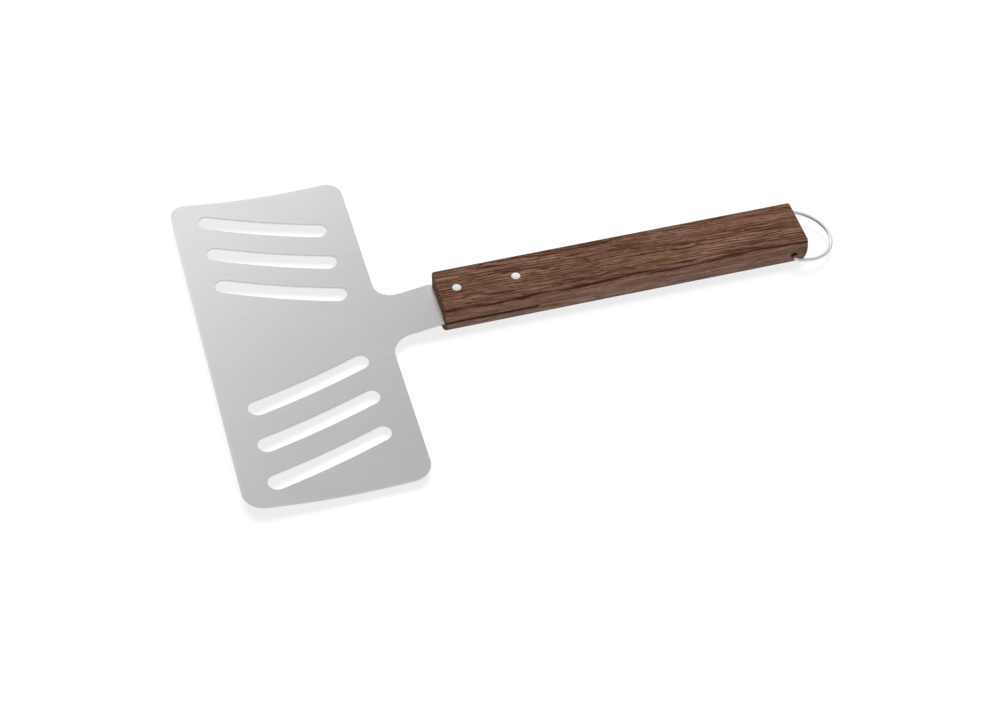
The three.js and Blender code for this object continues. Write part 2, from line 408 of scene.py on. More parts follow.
def rounding_of(ends):
    """The radius of one straight edge of the bar, given its two ends; zero where it stays sharp."""
    first, second = ends
    if near(first.y, second.y):
        at_rear = first.x > KERF_DEPTH + SAME_PLACE
        low = KERF_BOTTOM - SAME_PLACE
        high = KERF_TOP + SAME_PLACE
        in_kerf = all(low < end.z < high for end in ends)
        return 0 if in_kerf and not at_rear else EDGE_ROUND
    if near(first.x, -LIP_REACH) and near(first.z, 0):
        return NOSE_RADIUS
    if near(first.x, 0) and near(first.z, HANDLE_THICKNESS):
        return EDGE_ROUND
    return 0


def rear_curve():
    """Side outline of the rear end: a curved heel, a gentle bulge above it and a rounded top edge."""
    curve = []
    for step in range(HEEL_STEPS):
        angle = math.pi / 2 * (step / HEEL_STEPS - 1)
        x = HANDLE_LENGTH - HEEL_DEPTH * (1 - math.cos(angle))
        curve.append((x, HEEL_HEIGHT * (1 + math.sin(angle))))
    turn = math.asin((HANDLE_THICKNESS - HEEL_HEIGHT - REAR_ROUND) / (END_BULGE - REAR_ROUND))
    bulge_x = HANDLE_LENGTH - END_BULGE
    for step in range(ROUND_STEPS):
        angle = turn * step / ROUND_STEPS
        x = bulge_x + END_BULGE * math.cos(angle)
        curve.append((x, HEEL_HEIGHT + END_BULGE * math.sin(angle)))
    round_x = bulge_x + (END_BULGE - REAR_ROUND) * math.cos(turn)
    round_z = HANDLE_THICKNESS - REAR_ROUND
    for step in range(ROUND_STEPS + 1):
        angle = turn + (math.pi / 2 - turn) * step / ROUND_STEPS
        x = round_x + REAR_ROUND * math.cos(angle)
        curve.append((x, round_z + REAR_ROUND * math.sin(angle)))
    return curve


def handle_bar():
    """The bar with its kerf, lip and heel, and each other outer edge rounded by its own radius."""
    side = rear_curve() + [
        (0, HANDLE_THICKNESS),
        (0, KERF_TOP),
        (KERF_DEPTH, KERF_TOP),
        (KERF_DEPTH, KERF_BOTTOM),
        (-LIP_REACH, KERF_BOTTOM),
        (-LIP_REACH, 0),
    ]
    shape = bmesh.new()
    outline = shape.faces.new([shape.verts.new((x, -HANDLE_WIDTH / 2, z)) for x, z in side])
    copied = bmesh.ops.extrude_face_region(shape, geom=[outline])["geom"]
    moved = [item for item in copied if isinstance(item, bmesh.types.BMVert)]
    bmesh.ops.translate(shape, verts=moved, vec=(0, HANDLE_WIDTH, 0))
    bmesh.ops.recalc_face_normals(shape, faces=shape.faces)
    largest = max(NOSE_RADIUS, EDGE_ROUND)
    weights = shape.edges.layers.float.new("bevel_weight_edge")
    for edge in shape.edges:
        edge[weights] = rounding_of([vert.co for vert in edge.verts]) / largest
    bmesh.ops.translate(shape, verts=shape.verts, vec=(MOUTH_X, 0, 0))
    mesh = bpy.data.meshes.new("wooden_handle")
    shape.to_mesh(mesh)
    shape.free()
    bar = new_piece("wooden_handle", mesh)
    rounding = bar.modifiers.new("rounding", "BEVEL")
    rounding.limit_method = "WEIGHT"
    rounding.width = largest
    rounding.segments = ROUND_STEPS
    rounding.use_clamp_overlap = False
    return bar


def drill(x, height, radius, near_end, far_end, axis):
    """A round cutter along Y or Z, between two places on that axis."""
    shape = bmesh.new()
    bmesh.ops.create_cone(
        shape,
        cap_ends=True,
        segments=HOLE_STEPS,
        radius1=radius,
        radius2=radius,
        depth=far_end - near_end,
    )
    middle = (near_end + far_end) / 2
    if axis == "Y":
        bmesh.ops.rotate(shape, verts=shape.verts, matrix=Matrix.Rotation(math.pi / 2, 3, "X"))
        bmesh.ops.translate(shape, verts=shape.verts, vec=(x + MOUTH_X, middle, height))
    else:
        bmesh.ops.translate(shape, verts=shape.verts, vec=(x + MOUTH_X, 0, middle))
    mesh = bpy.data.meshes.new("cutter")
    shape.to_mesh(mesh)
    shape.free()
    return new_piece("cutter", mesh)


def cut_away(piece, cutters):
    """Takes the cutters out of the piece for good."""
    for cutter in cutters:
        step = piece.modifiers.new("hole", "BOOLEAN")
        step.object = cutter
        step.operation = "DIFFERENCE"
        step.solver = "EXACT"
    ready = piece.evaluated_get(bpy.context.evaluated_depsgraph_get())
    old = piece.data
    piece.modifiers.clear()
    piece.data = bpy.data.meshes.new_from_object(ready)
    bpy.data.meshes.remove(old)
    for cutter in cutters:
        bpy.data.objects.remove(cutter)


def arris_share(co):
    """One at the middle of a rounded outer edge, and zero on the flat faces."""
    depths = (
        abs(co.y) - (HANDLE_WIDTH / 2 - EDGE_ROUND),
        abs(co.z - HANDLE_THICKNESS / 2) - (HANDLE_THICKNESS / 2 - EDGE_ROUND),
        abs(co.x - MOUTH_X - HANDLE_LENGTH / 2) - (HANDLE_LENGTH / 2 - EDGE_ROUND),
    )
    largest = 0.0
    for a, b in ((0, 1), (0, 2), (1, 2)):
        first = max(depths[a], 0.0)
        second = max(depths[b], 0.0)
        if first > SAME_PLACE and second > SAME_PLACE:
            largest = max(largest, 2 * first * second / (first**2 + second**2))
    return largest


def make_handle():
    """The bar with its rivet holes and wire holes, and with evened shading."""
    piece = handle_bar()
    half = HANDLE_WIDTH / 2
    hole = WIRE_RADIUS + LOOP_HOLE_CLEARANCE
    floor = half - LOOP_END_DEPTH - LOOP_END_GAP
    cutters = [
        drill(LOOP_HINGE, LOOP_HOLE_HEIGHT, hole, floor, half + CUT_OVER, "Y"),
        drill(LOOP_HINGE, LOOP_HOLE_HEIGHT, hole, -half - CUT_OVER, -floor, "Y"),
    ]
    for place in RIVET_PLACES:
        top = HANDLE_THICKNESS + CUT_OVER
        cutters.append(drill(place, 0, RIVET_RADIUS + RIVET_CLEARANCE, -CUT_OVER, top, "Z"))
    cut_away(piece, cutters)
    mesh = piece.data
    mesh.name = "wooden_handle"
    mesh.shade_smooth()
    mesh.set_sharp_from_angle(angle=HANDLE_SHARP_ANGLE)
    add_layer(mesh, "arris", [arris_share(vert.co) for vert in mesh.vertices])
    even = piece.modifiers.new("even_normals", "WEIGHTED_NORMAL")
    even.keep_sharp = True
    return piece


# Rivets

def make_rivet(name, place):
    """A pin with a faintly domed, ground face at each end."""
    top = HANDLE_THICKNESS - RIVET_SET_BACK
    round_z = top - RIVET_DOME - RIVET_EDGE_ROUND
    rings = [(RIVET_RADIUS * share, top - RIVET_DOME * share**2) for share in RIVET_FACE_RINGS]
    for step in range(RIVET_EDGE_STEPS + 1):
        angle = math.pi / 2 * step / RIVET_EDGE_STEPS
        across = RIVET_RADIUS - RIVET_EDGE_ROUND * (1 - math.sin(angle))
        rings.append((across, round_z + RIVET_EDGE_ROUND * math.cos(angle)))
    rings += [(across, HANDLE_THICKNESS - height) for across, height in reversed(rings)]
    middle_x = place + MOUTH_X
    points = [Vector((middle_x, 0, top))]
    for across, height in rings:
        for step in range(HOLE_STEPS):
            angle = 2 * math.pi * step / HOLE_STEPS
            x = middle_x + across * math.cos(angle)
            points.append(Vector((x, across * math.sin(angle), height)))
    points.append(Vector((middle_x, 0, HANDLE_THICKNESS - top)))
    faces = []
    last = len(points) - 1
    last_ring = last - HOLE_STEPS
    for step in range(HOLE_STEPS):
        after = (step + 1) % HOLE_STEPS
        faces.append((0, 1 + step, 1 + after))
        faces.append((last, last_ring + after, last_ring + step))
        for ring in range(len(rings) - 1):
            above = 1 + ring * HOLE_STEPS
            below = above + HOLE_STEPS
            faces.append((above + step, below + step, below + after, above + after))
    return new_piece(name, smooth_mesh(name, points, faces, RIVET_SHARP_ANGLE))


# Wire loop

def arc_path(centre, radius, start, turn, steps):
    """Points and directions along an arc, anticlockwise from a starting angle."""
    path = []
    for step in range(steps + 1):
        angle = start + turn * step / steps
        out = (math.cos(angle), math.sin(angle))
        path.append(((centre[0] + radius * out[0], centre[1] + radius * out[1]), (-out[1], out[0])))
    return path


def loop_path():
    """Points and directions of the wire's middle line, in the loop's own plane."""
    end = HANDLE_WIDTH / 2 - LOOP_END_DEPTH
    bend = LOOP_CORNER_RADIUS
    quarter = math.pi / 2
    path = [((0, -end), (0, -1))]
    path += arc_path((bend, bend - LOOP_RADIUS), bend, math.pi, quarter, LOOP_BEND_STEPS)
    path += arc_path((LOOP_LEG_LENGTH, 0), LOOP_RADIUS, -quarter, math.pi, LOOP_RING_STEPS)
    path += arc_path((bend, LOOP_RADIUS - bend), bend, quarter, quarter, LOOP_BEND_STEPS)
    path.append(((0, end), (0, -1)))
    return path


def make_loop():
    """A round wire along the path, its two ends slightly bevelled."""
    path = [(Vector((*place, 0)), Vector((*along, 0))) for place, along in loop_path()]
    start, start_along = path[0]
    end, end_along = path[-1]
    stations = [
        (start, start_along, WIRE_RADIUS - WIRE_END_BEVEL),
        (start + start_along * WIRE_END_BEVEL, start_along, WIRE_RADIUS),
    ]
    stations += [(middle, along, WIRE_RADIUS) for middle, along in path[1:-1]]
    stations += [
        (end - end_along * WIRE_END_BEVEL, end_along, WIRE_RADIUS),
        (end, end_along, WIRE_RADIUS - WIRE_END_BEVEL),
    ]
    hang = Matrix.Translation((LOOP_HINGE + MOUTH_X, 0, LOOP_HOLE_HEIGHT))
    hang = hang @ Matrix.Rotation(LOOP_DROOP, 4, "Y")
    up = Vector((0, 0, 1))
    sides = WIRE_SIDES
    points = []
    faces = []
    for middle, along, radius in stations:
        across = along.cross(up)
        for side in range(sides):
            angle = 2 * math.pi * side / sides
            out = across * math.cos(angle) + up * math.sin(angle)
            points.append(hang @ (middle + out * radius))
    last = (len(stations) - 1) * sides
    for first in range(0, last, sides):
        for side in range(sides):
            after = (side + 1) % sides
            faces.append((first + side, first + sides + side, first + sides + after, first + after))
    faces.append(tuple(range(sides)))
    faces.append(tuple(reversed(range(last, last + sides))))
    return new_piece("wire_loop", smooth_mesh("wire_loop", points, faces, WIRE_SHARP_ANGLE))


# Materials

# Noise patterns, in waves per metre along X, Y and Z
BRUSHED_LINES = (40, 5200, 900)
BRUSHED_BANDS = (9, 900, 300)
STEEL_CLOUDS = (22, 26, 22)
GROUND_LINES = (300, 9000, 300)
WIRE_CLOUDS = (120, 120, 120)
BROAD_GRAIN = (8, 170, 170)
MEDIUM_GRAIN = (36, 900, 900)
FINE_FIBRES = (40, 2600, 2600)
GRAIN_FLECKS = (260, 1300, 1300)
YELLOW_GRAIN = (10, 130, 130)
RING_DRIFT = (7, 70, 70)
LINE_FADING = (40, 300, 300)
SHORT_PORES = (140, 1500, 1500)
LONG_PORES = (24, 1150, 1150)
STREAK_DRIFT = (22, 30, 1)
STREAK_EDGE = (90, 300, 500)
STREAK_DEPTH = (45, 600, 600)

# Most noise lies between these values
NOISE_LOW = 0.3
NOISE_HIGH = 0.7

# The grain's slope, and how far it sways at three scales of noise
GRAIN_SLOPE = (0.0, math.radians(1.2), math.radians(2.5))
GRAIN_SWAYS = (
    ((14, 55, 55), 4 * MM),
    ((32, 70, 70), 2.5 * MM),
    ((85, 150, 150), 1.3 * MM),
)

# Colours, in linear light
STEEL_COLOUR = (0.973, 0.973, 0.966)
RIVET_COLOUR = (0.80, 0.80, 0.80)
WIRE_COLOUR = (0.74, 0.74, 0.74)
DARK_GRAIN_COLOUR = (0.142, 0.058, 0.034)
MIDDLE_GRAIN_COLOUR = (0.290, 0.143, 0.095)
PALE_GRAIN_COLOUR = (0.480, 0.285, 0.206)
LINE_COLOUR = (0.060, 0.013, 0.002, 1)
# Colour of the painted shade on the handle, and of its darkening towards the heel
SHADE_COLOUR = (0.050, 0.029, 0.025, 1)
YELLOW_TINT = (0.98, 1.04, 0.94, 1)
# Tint of the painted shade on the handle's sides
SIDE_SHADE_TINT = (0.735, 0.79, 0.88, 1)
# Tint of a painted cool bounce light from the table, low on the handle's sides
TABLE_BOUNCE_TINT = (0.93, 1.05, 1.16, 1)

# Tone of plain sheet, of the sheet's edge in painted shade over the lip and of the wire in painted shade
# at its holes, as a share of the bright metal
PLAIN_STEEL = 0.74
SHADED_SHEET_EDGE = 0.25
SHADED_WIRE = 0.4

# Share of the painted highlight by the mouth that the blade's sides and front also get, as a painted rim
# highlight
EDGE_HIGHLIGHT_SHARE = 0.25

# Rings and streaks in the wood
RING_WIDTH = 1.8 * MM
RING_DRIFT_REACH = 2.4
DARK_STREAK_HEIGHT = 15.2 * MM
DARK_STREAK_RISE = 1.5 * MM
DARK_STREAK_WANDER = 1.0 * MM
DARK_STREAK_REACH = (0.7 * MM, 2.0 * MM)
FAINT_STREAK_HEIGHT = 8.9 * MM
FAINT_STREAK_WANDER = 0.8 * MM
FAINT_STREAK_REACH = (1.2 * MM, 2.2 * MM)
FAINT_STREAK_SHARE = 0.3

# Weights of the three grains
BROAD_WEIGHT = 0.24
MEDIUM_WEIGHT = 0.52
FINE_WEIGHT = 0.24

# Contrast of the grain, and share of the dark lines, on the handle's top and on its sides
TOP_CONTRAST = 3.1
SIDE_CONTRAST = 2.2
TOP_LINE_SHARE = 0.95
SIDE_LINE_SHARE = 0.5

# Shares of painted shade on the lip and round the holes and of the darkening towards the heel; the
# lightening of the rounded edges, partly painted highlight and partly wear; and the darkening of the end
# grain, partly its own colour and partly painted shade
NOSE_SHADE = 0.95
KERF_SHADE = 0.7
UNDERSIDE_SHADE = 0.4
HEEL_DARKENING = 0.2
BORE_SHADE = 0.6
# Lighter rounded edges, partly painted highlight and partly wear
ARRIS_HIGHLIGHT_AND_WEAR = 1.12
# Darker end grain, partly its own colour and partly painted shade
END_GRAIN_DARKENING = 0.56

# Heights of the bumps, and the wood's faint gloss
STEEL_BUMP = 0.01 * MM
WOOD_BUMP = 0.12 * MM
WOOD_SPECULAR = 0.05


def add_node(tree, kind, inputs=(), **settings):
    """Adds a shader node, sets its properties, and sets or links each named input."""
    made = tree.nodes.new("ShaderNode" + kind)
    for name, value in settings.items():
        setattr(made, name, value)
    for name, value in dict(inputs).items():
        if isinstance(value, bpy.types.NodeSocket):
            tree.links.new(value, made.inputs[name])
        else:
            made.inputs[name].default_value = value
    return made


def new_material(name):
    """A material with its node tree, its surface shader and the place on the piece."""
    material = bpy.data.materials.new(name)
    material.use_nodes = True
    tree = material.node_tree
    surface = tree.nodes["Principled BSDF"]
    place = add_node(tree, "TexCoord").outputs["Object"]
    return material, tree, surface, place


def read_layer(tree, name):
    """The number that a mesh holds at every vertex."""
    return add_node(tree, "Attribute", attribute_name=name).outputs["Fac"]


def part_of(tree, vector, axis):
    """One of a vector's three parts."""
    return add_node(tree, "SeparateXYZ", {0: vector}).outputs[axis]


def size_of(tree, value):
    """A number without its sign."""
    return add_node(tree, "Math", {0: value}, operation="ABSOLUTE").outputs[0]


def combined(tree, operation, first, *others):
    """Numbers put together, one after another, by one operation."""
    total = first
    for other in others:
        total = add_node(tree, "Math", {0: total, 1: other}, operation=operation).outputs[0]
    return total


def vectors(tree, operation, first, second):
    """Two vectors put together by one operation."""
    return add_node(tree, "VectorMath", {0: first, 1: second}, operation=operation).outputs[0]


def streaks(tree, place, stretch, detail, roughness=0.5):
    """Noise drawn out by different amounts along the three axes."""
    scaled = add_node(tree, "Mapping", {"Vector": place, "Scale": stretch}).outputs[0]
    settings = {"Vector": scaled, "Scale": 1.0, "Detail": detail, "Roughness": roughness}
    return add_node(tree, "TexNoise", settings).outputs["Fac"]


def mapped(tree, value, low, high, to_low, to_high):
    """A number carried from one range to another, and held within it."""
    settings = {0: value, 1: low, 2: high, 3: to_low, 4: to_high}
    return add_node(tree, "MapRange", settings).outputs[0]


def varied(tree, noise, to_low, to_high):
    """Noise carried to a range."""
    return mapped(tree, noise, NOISE_LOW, NOISE_HIGH, to_low, to_high)


def rising(tree, value, start, end):
    """A share that grows from zero to one between two values."""
    return mapped(tree, value, start, end, 0.0, 1.0)


def falling(tree, value, start, end):
    """A share that shrinks from one to zero between two values."""
    return mapped(tree, value, start, end, 1.0, 0.0)


def between(tree, share, at_zero, at_one):
    """A number that a share from zero to one picks between two others."""
    return mapped(tree, share, 0.0, 1.0, at_zero, at_one)


def ramp(tree, value, stops):
    """Colours along a number from 0 to 1, given as (place, red, green, blue)."""
    made = add_node(tree, "ValToRGB", {0: value})
    band = made.color_ramp
    while len(band.elements) < len(stops):
        band.elements.new(1.0)
    for element, (spot, red, green, blue) in zip(band.elements, stops):
        element.position = spot
        element.color = (red, green, blue, 1)
    return made.outputs["Color"]


def toned(tree, tone, colour):
    """A colour darkened by a tone from 0 to 1."""
    return ramp(tree, tone, [(0.0, 0.0, 0.0, 0.0), (1.0, *colour)])


def mixed(tree, share, first, second, blend="MIX"):
    """Two colours mixed by a share of the second."""
    settings = {0: share, 6: first, 7: second}
    return add_node(tree, "Mix", settings, data_type="RGBA", blend_type=blend).outputs[2]


def tinted(tree, share, colour, tint):
    """A colour multiplied by a tint, by a share of it."""
    return mixed(tree, share, colour, mixed(tree, 1.0, colour, tint, "MULTIPLY"))


def bumped(tree, height, distance, strength):
    """Normals that follow small heights."""
    settings = {"Height": height, "Distance": distance, "Strength": strength}
    return add_node(tree, "Bump", settings).outputs[0]


def dress(tree, surface, colour, rough, metallic):
    """Gives a surface its colour, its roughness and its metal."""
    tree.links.new(colour, surface.inputs["Base Color"])
    tree.links.new(rough, surface.inputs["Roughness"])
    surface.inputs["Metallic"].default_value = metallic


def sheet_painted_highlight(tree, place, rim):
    """The share of painted highlight: by the near half of the mouth, and along the blade's sides and
    front.
    """
    along = part_of(tree, place, "X")
    across = part_of(tree, place, "Y")
    # Painted highlight by the mouth, against the dark reflection of the handle's front face in the steel.
    by_mouth = rising(tree, along, MOUTH_X - 3.4 * MM, MOUTH_X - 1.6 * MM)
    on_flat = falling(tree, rim, 0.0, 0.5)
    near_half = falling(tree, across, 4 * MM, 12 * MM)
    by_mouth = combined(tree, "MULTIPLY", by_mouth, on_flat, near_half)
    # Painted highlight along the rims of the blade's sides and front.
    side = BLADE_WIDTH / 2
    outward = size_of(tree, across)
    by_side = mapped(tree, outward, side - 1.6 * MM, side - 0.4 * MM, 0.0, EDGE_HIGHLIGHT_SHARE)
    front = MOUTH_X + BLADE_FRONT
    by_front = mapped(tree, along, front + 0.4 * MM, front + 1.6 * MM, EDGE_HIGHLIGHT_SHARE, 0.0)
    return combined(tree, "MAXIMUM", by_mouth, by_side, by_front)


def sheet_edge_shade(tree, place, rim):
    """The share of painted shade on the sheet's edge where it lies over the lip."""
    # Painted shade on the sheet's edge where it lies over the dark lip.
    over_lip = rising(tree, part_of(tree, place, "X"), MOUTH_X - 3.0 * MM, MOUTH_X - 2.2 * MM)
    return combined(tree, "MULTIPLY", over_lip, rising(tree, rim, 0.2, 0.8))


def satin_steel():
    """Brushed stainless sheet: fine lines, faint clouds, smoother rims, a painted highlight by the mouth
    and along the sides and front, and painted shade on the edge over the lip.
    """
    material, tree, surface, place = new_material("satin_steel")
    lines = streaks(tree, place, BRUSHED_LINES, 3, 0.6)
    bands = streaks(tree, place, BRUSHED_BANDS, 2)
    clouds = streaks(tree, place, STEEL_CLOUDS, 3, 0.55)
    rim = read_layer(tree, "rim")
    tone = combined(
        tree,
        "MULTIPLY",
        varied(tree, lines, 0.955, 1.0),
        varied(tree, bands, 0.97, 1.0),
        varied(tree, clouds, 0.975, 1.0),
        between(tree, sheet_painted_highlight(tree, place, rim), PLAIN_STEEL, 1.0),
        between(tree, sheet_edge_shade(tree, place, rim), 1.0, SHADED_SHEET_EDGE),
    )
    rough = mapped(tree, lines, 0.25, 0.75, 0.34, 0.44)
    rough = combined(tree, "ADD", rough, varied(tree, clouds, -0.02, 0.02))
    rough = combined(tree, "SUBTRACT", rough, combined(tree, "MULTIPLY", rim, 0.12))
    dress(tree, surface, toned(tree, tone, STEEL_COLOUR), rough, 1.0)
    tree.links.new(bumped(tree, lines, STEEL_BUMP, 0.35), surface.inputs["Normal"])
    return material


def side_share(tree, place):
    """One on the handle's two sides, and zero on its top and underside."""
    outward = size_of(tree, part_of(tree, place, "Y"))
    return rising(tree, outward, HANDLE_WIDTH / 2 - 1.2 * MM, HANDLE_WIDTH / 2 - 0.3 * MM)


def end_share(tree):
    """One on the end grain at the handle's two ends, and zero on its long faces."""
    facing = add_node(tree, "TexCoord").outputs["Normal"]
    return rising(tree, size_of(tree, part_of(tree, facing, "X")), 0.5, 0.95)


def side_streak(tree, place, middle, wander, reach):
    """The share of a ragged streak that wanders along the handle at about one height."""
    drift = varied(tree, streaks(tree, place, STREAK_DRIFT, 2), -wander, wander)
    centre = combined(tree, "ADD", drift, middle)
    away = size_of(tree, combined(tree, "SUBTRACT", part_of(tree, place, "Z"), centre))
    ragged_reach = varied(tree, streaks(tree, place, STREAK_EDGE, 3), *reach)
    return falling(tree, combined(tree, "DIVIDE", away, ragged_reach), 0.5, 1.2)


def side_streaks(tree, place, side):
    """The share of the dark streak under each side's top edge, and of a faint one half way down."""
    along = part_of(tree, place, "X")
    rise = mapped(tree, along, MOUTH_X + 14 * MM, MOUTH_X + 30 * MM, DARK_STREAK_RISE, 0.0)
    middle = combined(tree, "ADD", rise, DARK_STREAK_HEIGHT)
    dark = side_streak(tree, place, middle, DARK_STREAK_WANDER, DARK_STREAK_REACH)
    depth = mapped(tree, streaks(tree, place, STREAK_DEPTH, 2), 0.36, 0.54, 0.35, 1.0)
    dark = combined(tree, "MULTIPLY", dark, depth)
    faint = side_streak(tree, place, FAINT_STREAK_HEIGHT, FAINT_STREAK_WANDER, FAINT_STREAK_REACH)
    faint = combined(tree, "MULTIPLY", faint, FAINT_STREAK_SHARE)
    return combined(tree, "MULTIPLY", combined(tree, "MAXIMUM", dark, faint), side)


def grain_lines(tree, grain):
    """The share of the dark lines along the grain: each ring darkens slowly up to a sharp edge."""
    across = combined(tree, "MULTIPLY", part_of(tree, grain, "Y"), 0.85 / RING_WIDTH)
    down = combined(tree, "MULTIPLY", part_of(tree, grain, "Z"), 0.5 / RING_WIDTH)
    drift = combined(tree, "MULTIPLY", streaks(tree, grain, RING_DRIFT, 2), RING_DRIFT_REACH)
    rings = combined(tree, "ADD", across, down, drift)
    within = add_node(tree, "Math", {0: rings}, operation="FRACT").outputs[0]
    line = combined(tree, "POWER", rising(tree, within, 0.52, 0.90), 1.15)
    fading = mapped(tree, streaks(tree, grain, LINE_FADING, 2), 0.36, 0.58, 0.25, 1.0)
    return combined(tree, "MULTIPLY", line, fading)


def pores(tree, grain):
    """The share of the dark strokes, short ones and long ones, that open pores leave along the grain."""
    short = mapped(tree, streaks(tree, grain, SHORT_PORES, 1), 0.57, 0.68, 0.0, 0.9)
    long = mapped(tree, streaks(tree, grain, LONG_PORES, 1), 0.58, 0.68, 0.0, 0.95)
    return combined(tree, "MAXIMUM", short, long)


def from_hinge(tree, place):
    """The distance from the line that the loop turns about."""
    hinge = (MOUTH_X + LOOP_HINGE, 0, LOOP_HOLE_HEIGHT)
    apart = vectors(tree, "SUBTRACT", place, hinge)
    apart = vectors(tree, "MULTIPLY", apart, (1, 0, 1))
    return add_node(tree, "VectorMath", {0: apart}, operation="LENGTH").outputs["Value"]


def painted_shade(tree, place):
    """The share of painted shade on the lip and round the wire's holes, and of the darkening towards the
    heel.
    """
    along = part_of(tree, place, "X")
    height = part_of(tree, place, "Z")
    on_lip = falling(tree, height, KERF_BOTTOM - 0.1 * MM, KERF_BOTTOM + 0.3 * MM)
    # Painted shade on the lip's nose, which faces down and forward.
    nose = mapped(tree, along, MOUTH_X - 0.8 * MM, MOUTH_X + 2.4 * MM, NOSE_SHADE, 0.0)
    kerf_end = MOUTH_X + KERF_DEPTH
    # Painted shade below the kerf, widening its shadow line.
    kerf = mapped(tree, height, KERF_BOTTOM - 0.9 * MM, KERF_BOTTOM - 0.3 * MM, 0.0, KERF_SHADE)
    kerf = combined(tree, "MULTIPLY", kerf, falling(tree, along, kerf_end - 1 * MM, kerf_end))
    # Painted shade along the lip's lower edge.
    underside_edge = mapped(tree, height, 0.5 * MM, 2.8 * MM, UNDERSIDE_SHADE, 0.0)
    lip = combined(tree, "MAXIMUM", nose, kerf, underside_edge)
    lip = combined(tree, "MULTIPLY", lip, on_lip)
    handle_end = MOUTH_X + HANDLE_LENGTH
    # Darker towards the heel.
    heel = mapped(tree, along, handle_end - 8 * MM, handle_end - 2 * MM, 0.0, HEEL_DARKENING)
    heel = combined(tree, "MULTIPLY", heel, falling(tree, height, 12 * MM, 16 * MM))
    # Painted shade round the wire's holes.
    bore = mapped(tree, from_hinge(tree, place), 1.8 * MM, 2.8 * MM, BORE_SHADE, 0.0)
    return combined(tree, "MAXIMUM", lip, heel, bore)


def swayed_grain(tree, place):
    """The place on the piece, turned to the grain's slope and swayed across the grain."""
    turned = add_node(tree, "Mapping", {"Vector": place, "Rotation": GRAIN_SLOPE}).outputs[0]
    grain = turned
    for stretch, reach in GRAIN_SWAYS:
        scaled = add_node(tree, "Mapping", {"Vector": turned, "Scale": stretch}).outputs[0]
        settings = {"Vector": scaled, "Scale": 1.0, "Detail": 2.0}
        sway = add_node(tree, "TexNoise", settings).outputs["Color"]
        sway = vectors(tree, "SUBTRACT", sway, (0.5, 0.5, 0.5))
        sway = vectors(tree, "MULTIPLY", sway, (0, reach, reach))
        grain = vectors(tree, "ADD", grain, sway)
    return grain


def grain_colour(tree, place, grain, fibres, side):
    """The wood's colour, with painted shade on the sides and a painted cool bounce light low on them,
    before its lines and painted shade.
    """
    broad = combined(tree, "MULTIPLY", streaks(tree, grain, BROAD_GRAIN, 2), BROAD_WEIGHT)
    medium = streaks(tree, grain, MEDIUM_GRAIN, 2, 0.55)
    medium = combined(tree, "MULTIPLY", medium, MEDIUM_WEIGHT)
    fine = combined(tree, "MULTIPLY", fibres, FINE_WEIGHT)
    tone = combined(tree, "SUBTRACT", combined(tree, "ADD", broad, medium, fine), 0.5)
    tone = combined(tree, "MULTIPLY", tone, between(tree, side, TOP_CONTRAST, SIDE_CONTRAST))
    tone = combined(tree, "ADD", tone, 0.5)
    stops = [(0.0, *DARK_GRAIN_COLOUR), (0.5, *MIDDLE_GRAIN_COLOUR), (1.0, *PALE_GRAIN_COLOUR)]
    yellow = rising(tree, streaks(tree, grain, YELLOW_GRAIN, 2), 0.4, 0.62)
    low = falling(tree, part_of(tree, place, "Z"), 2 * MM, 8 * MM)
    # Painted cool bounce light from the table, low on the sides.
    bounce_share = combined(tree, "MULTIPLY", low, side)
    colour = tinted(tree, yellow, ramp(tree, tone, stops), YELLOW_TINT)
    # Painted shade on the sides.
    colour = tinted(tree, side, colour, SIDE_SHADE_TINT)
    return tinted(tree, bounce_share, colour, TABLE_BOUNCE_TINT)


def dark_wood():
    """Dark open-grained wood: fine streaks along the handle, and thin, wavy, dark red-brown lines."""
    material, tree, surface, place = new_material("dark_wood")
    grain = swayed_grain(tree, place)
    fibres = streaks(tree, grain, FINE_FIBRES, 2, 0.6)
    flecks = streaks(tree, grain, GRAIN_FLECKS, 2, 0.6)
    arris = read_layer(tree, "arris")
    side = side_share(tree, place)
    lines = combined(tree, "MAXIMUM", grain_lines(tree, grain), pores(tree, grain))
    lines = combined(tree, "MULTIPLY", lines, between(tree, side, TOP_LINE_SHARE, SIDE_LINE_SHARE))
    lines = combined(tree, "MAXIMUM", lines, side_streaks(tree, place, side))
    # Painted shade on the lip and round the holes, and darkening towards the heel.
    shaded = painted_shade(tree, place)
    marks = combined(tree, "MAXIMUM", lines, shaded)
    colour = grain_colour(tree, place, grain, fibres, side)
    colour = mixed(tree, lines, colour, LINE_COLOUR)
    colour = mixed(tree, shaded, colour, SHADE_COLOUR)
    # Lighter rounded edges, partly painted highlight and partly wear.
    arris_light = between(tree, arris, 1.0, ARRIS_HIGHLIGHT_AND_WEAR)
    # Darker end grain, partly its own colour and partly painted shade on the ends.
    ends = between(tree, end_share(tree), 1.0, END_GRAIN_DARKENING)
    shade = combined(tree, "MULTIPLY", arris_light, ends, varied(tree, flecks, 0.82, 1.22))
    colour = mixed(tree, 1.0, colour, shade, "MULTIPLY")
    rough = between(tree, marks, 0.60, 0.75)
    rough = combined(tree, "SUBTRACT", rough, combined(tree, "MULTIPLY", arris, 0.08))
    raised = combined(tree, "MULTIPLY", fibres, 0.4)
    sunk = combined(tree, "MULTIPLY", marks, 0.6)
    relief = combined(tree, "SUBTRACT", raised, sunk)
    dress(tree, surface, colour, rough, 0.0)
    tree.links.new(bumped(tree, relief, WOOD_BUMP, 0.5), surface.inputs["Normal"])
    surface.inputs["Specular IOR Level"].default_value = WOOD_SPECULAR
    return material


